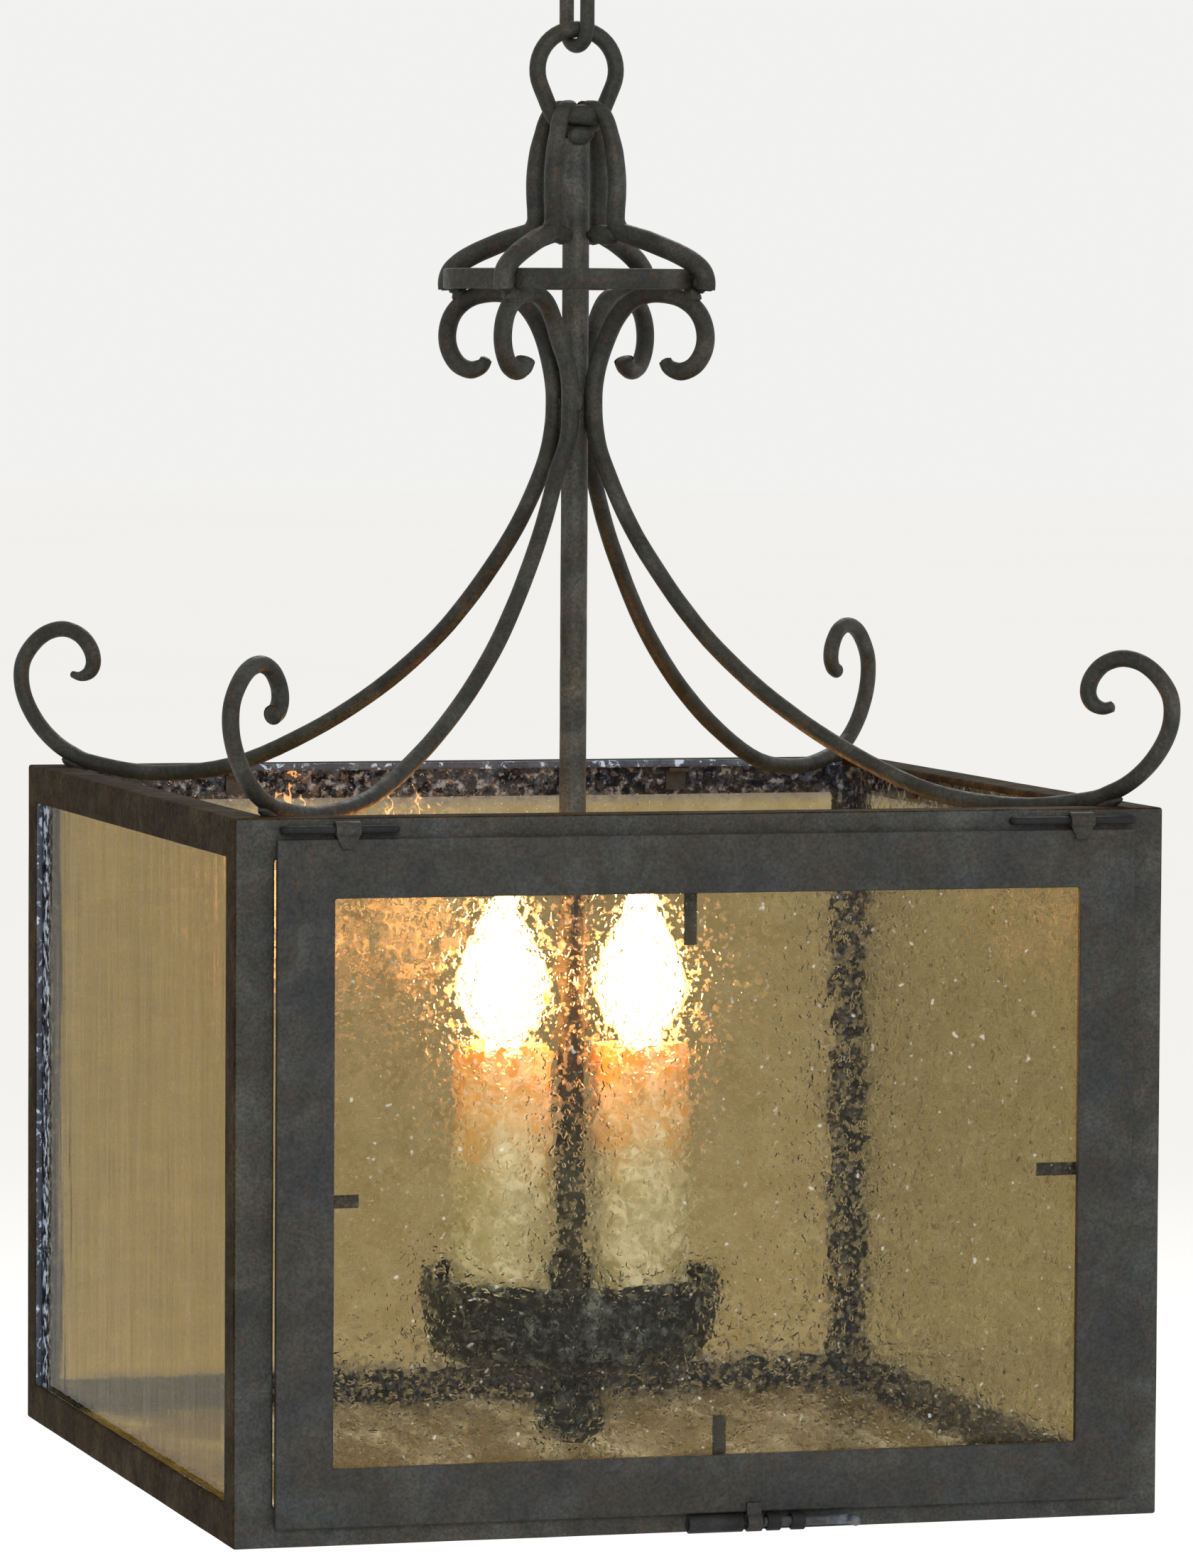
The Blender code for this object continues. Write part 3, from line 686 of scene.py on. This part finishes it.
def make_crown_band():
    """A flat band rolled into a hoop, with eased edges."""
    low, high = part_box("crown_band")
    bottom, top = low.z - BASE, high.z - BASE
    outer = high.x - 0.00003
    inner = outer - BAND_THICK
    edge = 0.0008
    profile = [
        (outer - edge, top), (outer - edge * 0.3, top - edge * 0.3), (outer, top - edge),
        (outer, (top + bottom) / 2), (outer, bottom + edge), (outer - edge * 0.3, bottom + edge * 0.3),
        (outer - edge, bottom), (inner + edge, bottom), (inner + edge * 0.3, bottom + edge * 0.3),
        (inner, bottom + edge), (inner, (top + bottom) / 2), (inner, top - edge),
        (inner + edge * 0.3, top - edge * 0.3), (inner + edge, top), (outer - edge, top),
    ]
    mesh = lathe("band", profile, (0, 0, 0), 96, 0.008, 60)
    add_piece("crown_band_rolled", mesh, ROD_IRON, "iron", "lantern", "crown_band")


def make_tube():
    """The lamp tube, with an open mouth at its top and enough rings to look hand finished."""
    low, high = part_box("central_tube")
    bottom, top = low.z - BASE, high.z - BASE
    radius = high.x
    bore = radius - 0.0012
    profile = [(0.0, top - 0.006), (bore, top - 0.006), (bore, top - 0.0004),
               (radius - 0.0005, top), (radius - 0.0001, top - 0.0005)]
    rings = 60
    for i in range(rings + 1):
        profile.append((radius - 0.00005, top - 0.001 - (top - bottom - 0.002) * i / rings))
    profile += [(radius - 0.0004, bottom + 0.0002), (0.0, bottom)]
    mesh = lathe("tube", profile, (0, 0, 0), 28, 0.03, 110)
    add_piece("lamp_tube", mesh, TUBE_IRON, "iron", "lantern", "central_tube")


def make_box_frame():
    """The welded box of angle iron, with painted shade on its sides and tops and painted light inwards.
    """
    a, b, c = HALF, HALF - ANGLE_THICK, HALF - ANGLE_LEG
    run = spread(-a, -b, -c, c, b, a)
    heights = spread(0, ANGLE_THICK, ANGLE_LEG, BOX_HEIGHT - ANGLE_LEG,
                     BOX_HEIGHT - ANGLE_THICK, BOX_HEIGHT)
    rise = [level(h) for h in heights]

    def filled(x, y, z):
        h = z - BASE
        h = min(h, BOX_HEIGHT - h)
        far, near = max(abs(x), abs(y)), min(abs(x), abs(y))
        post = near > c and far > b
        return post or (h < ANGLE_LEG and far > b) or (h < ANGLE_THICK and far > c)

    mesh = worn(bevelled(lattice("frame", run, run, rise, filled), 0.0011, 3), 0.00022, 45)
    nodes = ["post_" + corner for corner in CORNERS]
    nodes += [edge + side for edge in ("top_rail_", "bottom_rail_") for side in SIDES]
    add_piece("welded_angle_frame", mesh, RAIL_IRON, "iron", "lantern", *nodes)
    mesh.materials.append(SHADED_SIDE_IRON)
    mesh.materials.append(GLOWING_INNER_IRON)
    # Inward faces: painted light. Sides, upward faces, the top right rail's inward face: painted shade
    for polygon in mesh.polygons:
        middle, normal = polygon.center, polygon.normal
        outward = Vector((middle.x, middle.y, 0)).normalized()
        inward = normal.dot(outward) < -0.2
        right_rail = middle.x > HALF - ANGLE_LEG and abs(middle.y) < HALF - 0.02
        top_right_rail = right_rail and middle.z > level(BOX_HEIGHT - ANGLE_LEG)
        if inward and not top_right_rail:
            polygon.material_index = 2
        elif inward or abs(normal.x) > 0.6 or normal.z > 0.6:
            polygon.material_index = 1


def make_door_frame():
    """The door's frame of flat bar, with worn edges."""
    low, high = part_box("door_frame")
    xs = spread(low.x, low.x + DOOR_BAR, high.x - DOOR_BAR, high.x, spacing=0.012)
    zs = spread(low.z, low.z + DOOR_BAR, high.z - DOOR_BAR, high.z, spacing=0.012)
    ys = [low.y, high.y]

    def filled(x, y, z):
        beside = not low.x + DOOR_BAR < x < high.x - DOOR_BAR
        return beside or not low.z + DOOR_BAR < z < high.z - DOOR_BAR

    mesh = worn(bevelled(lattice("door", xs, ys, zs, filled), 0.0007, 3), 0.00018, 50)
    add_piece("door_bar_frame", mesh, FRONT_IRON, "iron", "door", "door_frame")


def make_pane(name, node, material, body):
    """A pane between its CAD box's faces, with soft lumps pressed into both of them."""
    low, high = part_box(node)
    thin, along, up = sorted(range(3), key=lambda axis: high[axis] - low[axis])
    columns = max(2, round((high[along] - low[along]) / PANE_STEP))
    rows = max(2, round((high[up] - low[up]) / PANE_STEP))
    verts, faces = [], []
    for face, sign in ((low[thin], 1), (high[thin], -1)):
        for i in range(columns + 1):
            for j in range(rows + 1):
                point = Vector((0, 0, 0))
                point[up] = low[up] + (high[up] - low[up]) * j / rows
                point[along] = low[along] + (high[along] - low[along]) * i / columns
                point[thin] = face
                lump = 0.5 + 0.5 * noise.noise(point * 75 + Vector((sign, 2, 3)))
                edge = i in (0, columns) or j in (0, rows)
                point[thin] += sign * (0.0 if edge else PANE_LUMP * lump)
                verts.append(point)
    size = (columns + 1) * (rows + 1)

    def index(side, i, j):
        return side * size + i * (rows + 1) + j

    for i, j, side in product(range(columns), range(rows), (0, 1)):
        faces.append((index(side, i, j), index(side, i + 1, j),
                      index(side, i + 1, j + 1), index(side, i, j + 1)))
    for i, j in product(range(columns), (0, rows)):
        faces.append((index(0, i, j), index(0, i + 1, j), index(1, i + 1, j), index(1, i, j)))
    for j, i in product(range(rows), (0, columns)):
        faces.append((index(0, i, j), index(0, i, j + 1), index(1, i, j + 1), index(1, i, j)))
    mesh = mesh_from(name, verts, faces, 40)
    add_piece(name, mesh, material, "glass", body, node)


def make_panes():
    """The four fixed panes and the door's."""
    make_pane("seeded_pane_back", "glass_back", BACK_GLASS, "lantern")
    make_pane("seeded_pane_right", "glass_right", RIGHT_GLASS, "lantern")
    make_pane("seeded_pane_bottom", "glass_bottom", FLOOR_GLASS, "lantern")
    make_pane("seeded_pane_left", "glass_left", LEFT_GLASS, "lantern")
    make_pane("seeded_pane_door", "door_glass", DOOR_GLASS, "door")


def make_cluster():
    """The dish, the finial under it and the two candles that stand in it."""
    dish = lathe("dish", smooth_path(DISH_PROFILE, 2), (0, 0, 0), 72, 0.035, 75)
    add_piece("hammered_dish", dish, CAST_IRON, "iron", "lantern", "candle_dish")
    finial = lathe("finial", FINIAL_PROFILE, (0, 0, 0), 36, 0.03, 110)
    add_piece("turned_finial", finial, CAST_IRON, "iron", "lantern", "dish_finial")
    for side in ("left", "right"):
        low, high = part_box("candle_sleeve_" + side)
        x = (low.x + high.x) / 2
        make_candle_cover(side)
        make_candle_cup(side, x)
        make_lamp_holder(side, x)
        make_bulb(side, x)


def make_candle_cover(side):
    """A cover with soft drips down it and a bore at its top."""
    low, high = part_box("candle_sleeve_" + side)
    x = (low.x + high.x) / 2
    radius = (high.x - low.x) / 2
    bottom, top = low.z - BASE, high.z - BASE
    seed = 3.0 if side == "left" else 8.0
    steps, rows = 64, 36
    rays = []
    for k in range(steps):
        angle = 2 * math.pi * k / steps
        rays.append(Vector((math.cos(angle), math.sin(angle), 0)))
    verts = []
    for j in range(rows + 1):
        height = bottom + (top - bottom) * j / rows
        edge = min(1.0, (top - height) / 0.003)
        for ray in rays:
            drip = noise.noise(Vector((ray.x * 2.2 + seed, ray.y * 2.2, height * 16)))
            fine = noise.noise(Vector((ray.x * 5 + seed, ray.y * 5, height * 70)))
            reach = radius * (0.972 + 0.02 * drip + 0.008 * fine) - 0.0009 * (1 - edge) ** 2
            verts.append(Vector((x, 0, level(height))) + ray * reach)
    mouth = ((0.0150, top - 0.0002), (SOCKET_BORE, top - 0.0008), (SOCKET_BORE, top - 0.03))
    for r, h in mouth:
        verts += [Vector((x, 0, level(h))) + ray * r for ray in rays]
    rings = rows + 1 + len(mouth)
    faces = ring_faces(rings, steps)
    faces.append(tuple(range(steps))[::-1])
    faces.append(tuple((rings - 1) * steps + k for k in range(steps)))
    mesh = mesh_from("sleeve", verts, faces, 50)
    add_piece("candle_cover_" + side, mesh, WAX, "wax", "lantern", "candle_sleeve_" + side)


def make_candle_cup(side, x):
    """The foot that a candle stands on."""
    low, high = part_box("candle_foot_" + side)
    radius = (high.x - low.x) / 2
    bottom, top = low.z - BASE, high.z - BASE
    profile = [(0.0, top), (radius - 0.0006, top), (radius, top - 0.0006), (radius, bottom + 0.0005),
               (radius - 0.0005, bottom), (0.0, bottom)]
    cup = lathe("foot", profile, (x, 0, 0), 32)
    add_piece("candle_cup_" + side, cup, CAST_IRON, "iron", "lantern", "candle_foot_" + side)


def make_lamp_holder(side, x):
    """A lamp holder with a rolled rim and a ribbed wall."""
    low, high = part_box("lamp_socket_" + side)
    rim = (high.x - low.x) / 2
    bottom, top = low.z - BASE, high.z - BASE
    profile = [(0.0, top), (0.0093, top), (0.0104, top - 0.0004), (0.0112, top - 0.0014),
               (rim - 0.0002, top - 0.0028), (rim - 0.0001, top - 0.0040), (rim - 0.0006, top - 0.0048)]
    profile += [(rim - (0.0001 if i % 2 else 0.0006), top - 0.006 - 0.0012 * i) for i in range(6)]
    profile += [(rim - 0.0002, bottom), (0.0, bottom)]
    holder = lathe("socket", profile, (x, 0, 0), 40)
    add_piece("lamp_holder_" + side, holder, BRASS, "socket", "lantern", "lamp_socket_" + side)


def make_bulb(side, x):
    """A flame-shaped bulb with a drawn-out tip."""
    profile = [(max(0.0, r), h) for r, h in smooth_path(FLAME_PROFILE, 3)]
    bulb = lathe("bulb", profile, (x, 0, 0), 40)
    add_piece("flame_bulb_" + side, bulb, BULB, "bulb", "lantern", "bulb_" + side)


def upright_loop(low_arc, high_arc, turn, steps=28):
    """A closed loop that stands upright: two arcs and the straights that touch both."""
    (low_radius, low), (high_radius, high) = low_arc, high_arc
    tilt = math.degrees(math.asin((high_radius - low_radius) / (high - low)))
    over = (-tilt, 180 + tilt, high_radius, high)
    under = (180 + tilt, 360 - tilt, low_radius, low)
    points = []
    for start, end, radius, height in (over, under):
        for x, z in arc(radius, start, end, steps):
            points.append(Vector((x * math.cos(turn), x * math.sin(turn), level(height + z))))
    return points


def make_hanging_gear():
    """The pear-shaped ring and the chain link that it hangs on."""
    route = upright_loop(*RING_ARCS, 0.0)
    ring = sweep("ring", route, ROD_RADIUS, 20, True, seed=3.3)
    add_piece("forged_ring", ring, ROD_IRON, "iron", "ring", "hanging_ring")
    route = upright_loop(*LINK_ARCS, LINK_TURN)
    link = sweep("link", route, LINK_WIRE, 20, True, seed=6.1)
    add_piece("welded_link", link, ROD_IRON, "iron", "link", "chain_link")


def arc(radius, start, end, steps):
    """Points from one angle to another, in degrees."""
    angles = [math.radians(start + (end - start) * i / steps) for i in range(steps + 1)]
    return [(radius * math.cos(a), radius * math.sin(a)) for a in angles]


def loop_strap(pin_radius, tail_face, tail_length, up):
    """A strip wrapped round a pin at the origin, with a flat tail. Local X points into the box."""
    inner = pin_radius + 0.00032
    outer = inner + STRAP_THICK
    outer_start = 180 + math.degrees(math.acos((STRAP_THICK - tail_face) / outer))
    inner_start = 180 + math.degrees(math.acos(-tail_face / inner))
    points = [(tail_face - STRAP_THICK, -tail_length)]
    points += arc(outer, outer_start, -55, 28)
    points += arc(inner, -55, inner_start, 28)
    points.append((tail_face, -tail_length))
    if up:
        points = [(x, -y) for x, y in points][::-1]
    return points


def make_hinges():
    """Two staple-shaped pins, and the door's straps rolled round them."""
    for side in ("left", "right"):
        low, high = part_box("hinge_pin_" + side)
        y, z = low.y + PIN_RADIUS, (low.z + high.z) / 2
        make_hinge_pin(side, low, high, y, z)
        make_door_strap(side, y, z)


def make_hinge_pin(side, low, high, y, z):
    """A round bar along the front, bent back into the rail at both ends."""
    left, right, end = low.x + PIN_RADIUS, high.x - PIN_RADIUS, high.y
    bend = PIN_BEND
    route = [(left, end, z), (left, (end + y + bend) / 2, z), (left, y + bend, z)]
    route += [(left + bend - bend * math.cos(a), y + bend - bend * math.sin(a), z) for a in QUARTER]
    steps = 14
    span = right - left - 2 * bend
    route += [(left + bend + span * i / steps, y, z) for i in range(steps + 1)]
    route += [(right - bend + bend * math.sin(a), y + bend - bend * math.cos(a), z) for a in QUARTER]
    route += [(right, y + bend, z), (right, (end + y + bend) / 2, z), (right, end, z)]
    pin = sweep("pin", route, PIN_RADIUS - 0.00002, 14, rough=0.03)
    # Near-black iron: painted shade
    add_piece("hinge_staple_" + side, pin, SHADOW_DARK_PIN_IRON, "iron", "lantern", "hinge_pin_" + side)


def make_door_strap(side, y, z):
    """A strap round a pin at y and z, narrowing down its tail."""
    low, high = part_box("hinge_strap_" + side)
    outline = loop_strap(PIN_RADIUS, DOOR_FACE - y, z - low.z, False)
    strap = prism("strap", outline, low.x, high.x, Matrix.Translation((0, y, z)) @ STANDING, 0.00025)
    tail_top = z - PIN_RADIUS
    for vert in strap.vertices:
        below = max(0.0, (tail_top - vert.co.z) / (tail_top - low.z))
        vert.co.x += ((low.x + high.x) / 2 - vert.co.x) * 0.55 * below
    add_piece("door_strap_" + side, strap, FRONT_IRON, "iron", "door", "hinge_strap_" + side)


def make_latch():
    """The bolt with its bent handle, and the hasp, guides and keeper that it slides through."""
    low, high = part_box("latch_bolt")
    y, z = high.y - BOLT_RADIUS, (low.z + high.z) / 2
    bend = BOLT_BEND
    right = high.x - BOLT_RADIUS
    steps = 12
    route = [(low.x + (right - bend - low.x) * i / steps, y, z) for i in range(steps + 1)]
    route += [(right - bend + bend * math.sin(a), y - bend + bend * math.cos(a), z) for a in QUARTER]
    route += [(right, y - bend, z), (right, low.y, z)]
    bolt = sweep("bolt", route, BOLT_RADIUS - 0.00003, 16, rough=0.03)
    # The bolt's pale iron is a painted highlight
    add_piece("sliding_bolt", bolt, BOLT_HIGHLIGHT_IRON, "iron", "bolt", "latch_bolt")
    low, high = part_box("latch_hasp")
    outline = loop_strap(BOLT_RADIUS, DOOR_FACE - y, high.z - z, True)
    hasp = prism("hasp", outline, low.x, high.x, Matrix.Translation((0, y, z)) @ STANDING, 0.00022)
    add_piece("door_hasp", hasp, FRONT_IRON, "iron", "door", "latch_hasp")
    for node in ("latch_guide_inner", "latch_guide_outer", "latch_keeper"):
        make_rolled_guide(node, y, z)


def make_rolled_guide(node, y, z, steps=28):
    """A short rolled sleeve round the bolt's line at y and z."""
    low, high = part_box(node)
    inner, outer = BOLT_RADIUS + 0.0003, BOLT_RADIUS + 0.0014
    edge = 0.00025
    section = [(outer - edge, low.x), (outer, low.x + edge), (outer, high.x - edge),
               (outer - edge, high.x), (inner + edge, high.x), (inner, high.x - edge),
               (inner, low.x + edge), (inner + edge, low.x)]
    verts = []
    for r, x in section:
        for k in range(steps):
            angle = 2 * math.pi * k / steps
            verts.append(Vector((x, y + r * math.cos(angle), z + r * math.sin(angle))))
    mesh = mesh_from("guide", verts, ring_faces(len(section), steps, closed=True), 40)
    # Near-black iron: painted shade
    add_piece(node + "_rolled", mesh, SHADOW_DARK_PIN_IRON, "iron", "lantern", node)


def dress_small_parts():
    """The CAD's own clips and tabs keep their shape, with rounded edges and a finish."""
    for name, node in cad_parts.items():
        if name.startswith(("glass_clip_", "door_tab_")):
            node.data.materials.clear()
            node.data.materials.append(RAIL_IRON)
            bevel = node.modifiers.new("edges", "BEVEL")
            bevel.width = 0.0002
            bevel.segments = 2
            bevel.limit_method = "ANGLE"
            bevel.angle_limit = math.radians(40)


def make_welds():
    """Weld beads where the rods meet one another, the band, the tube and the box."""
    beads = []
    for number, degrees in enumerate(CORNERS.values()):
        outward = around(1, 0, degrees).xy
        seed = number * 3.7
        for radius, height, size in ((0.0525, 0.4440, (0.0030, 0.0030, 0.0042)),
                                     (0.0495, 0.4390, (0.0030, 0.0030, 0.0034)),
                                     (0.0066, 0.3960, (0.0019, 0.0019, 0.0075))):
            beads.append(pebble(around(radius, height, degrees), size, 0.3, seed))
            seed += 1
        beads.append(pebble(around(0.0125, 0.4615, degrees), (0.0034, 0.0036, 0.0072), 0.25, seed,
                            (*outward, 0)))
    for turn, seed in ((90, 21.0), (-90, 25.0)):
        beads.append(pebble(around(0.0068, 0.5060, turn), (0.0096, 0.0021, 0.0038), 0.12, seed))
        beads.append(pebble(around(0.0061, 0.4984, turn), (0.0050, 0.0015, 0.0034), 0.12, seed + 5))
    beads.append(pebble(around(0.0085, 0.4000, -100), (0.0024, 0.0022, 0.0046), 0.3, 31.0))
    add_piece("crown_welds", joined("crown_welds", beads, 180), ROD_IRON, "iron", "lantern")
    beads = []
    for degrees in CORNERS.values():
        climb = (*around(1, 0, degrees).xy, 0.25)
        beads.append(pebble(around(0.2205, 0.2569, degrees), (0.0020, 0.0022, 0.0064), 0.12,
                            degrees * 0.1, climb))
    add_piece("corner_welds", joined("corner_welds", beads, 180), RAIL_IRON, "iron", "lantern")


# ---------------------------------------------------------------- the studio

def make_camera():
    """The camera, a little above the lantern's middle and to its left, level but for a slight roll."""
    azimuth, pitch, roll = (math.radians(d) for d in (-16.298, 3.347, 0.335))
    distance = 2.8911
    aim = Vector((0.0093, 0.0, -0.3003))
    ahead = Vector((-math.sin(azimuth) * math.cos(pitch), math.cos(azimuth) * math.cos(pitch),
                    -math.sin(pitch)))
    level_right = Vector((math.cos(azimuth), math.sin(azimuth), 0.0))
    level_up = level_right.cross(ahead)
    right = level_right * math.cos(roll) + level_up * math.sin(roll)
    up = level_up * math.cos(roll) - level_right * math.sin(roll)
    data = bpy.data.cameras.new("camera")
    data.lens = 177.02
    data.clip_start = 0.05
    data.clip_end = 200
    camera = bpy.data.objects.new("camera", data)
    bpy.context.scene.collection.objects.link(camera)
    turn = Matrix((right, up, -ahead)).transposed().to_4x4()
    camera.matrix_world = Matrix.Translation(aim - ahead * distance) @ turn
    bpy.context.scene.camera = camera


def area_light(name, place, target, size, energy, colour=(1, 1, 1)):
    """A round soft light that looks at a target."""
    data = bpy.data.lights.new(name, "AREA")
    data.shape = "DISK"
    data.size = size
    data.energy = energy
    data.color = colour
    light = bpy.data.objects.new(name, data)
    bpy.context.scene.collection.objects.link(light)
    light.location = place
    light.rotation_euler = (Vector(target) - Vector(place)).to_track_quat("-Z", "Y").to_euler()


def make_studio():
    """An even pale world, a pale floor and three soft lights."""
    world = bpy.data.worlds.new("studio")
    world.use_nodes = True
    background = world.node_tree.nodes["Background"]
    background.inputs["Color"].default_value = (0.93, 0.93, 0.92, 1.0)
    background.inputs["Strength"].default_value = 0.95
    bpy.context.scene.world = world
    bpy.context.scene.view_settings.view_transform = "Standard"
    mesh = bpy.data.meshes.new("floor")
    shape = bmesh.new()
    bmesh.ops.create_circle(shape, cap_ends=True, radius=30, segments=96)
    shape.to_mesh(mesh)
    shape.free()
    floor = bpy.data.objects.new("studio_floor", mesh)
    bpy.context.scene.collection.objects.link(floor)
    floor.location.z = BASE - FLOOR_DROP
    s = Shading("floor_paint")
    paint = s.ramp(s.noise(0.6, 2), (0.3, linear(240, 239, 237)), (0.7, linear(241, 240, 238)))
    s.link(paint, s.shader.inputs["Base Color"])
    s.set(Roughness=0.9, Specular_IOR_Level=0.0, Emission_Color=(1.0, 1.0, 1.0, 1.0),
          Emission_Strength=0.11)
    mesh.materials.append(s.material)
    middle = (0, 0, -0.33)
    area_light("key", (-0.5, -2.8, 0.7), middle, 0.9, 30, (1.0, 0.98, 0.95))
    area_light("fill", (2.2, -1.6, 0.3), middle, 1.2, 8, (0.93, 0.96, 1.0))
    area_light("rim", (0.9, 2.0, 1.2), middle, 0.8, 14)


make_camera()
make_rods()
make_crown_band()
make_tube()
make_box_frame()
make_door_frame()
make_panes()
make_cluster()
make_hanging_gear()
make_hinges()
make_latch()
dress_small_parts()
make_welds()
make_studio()
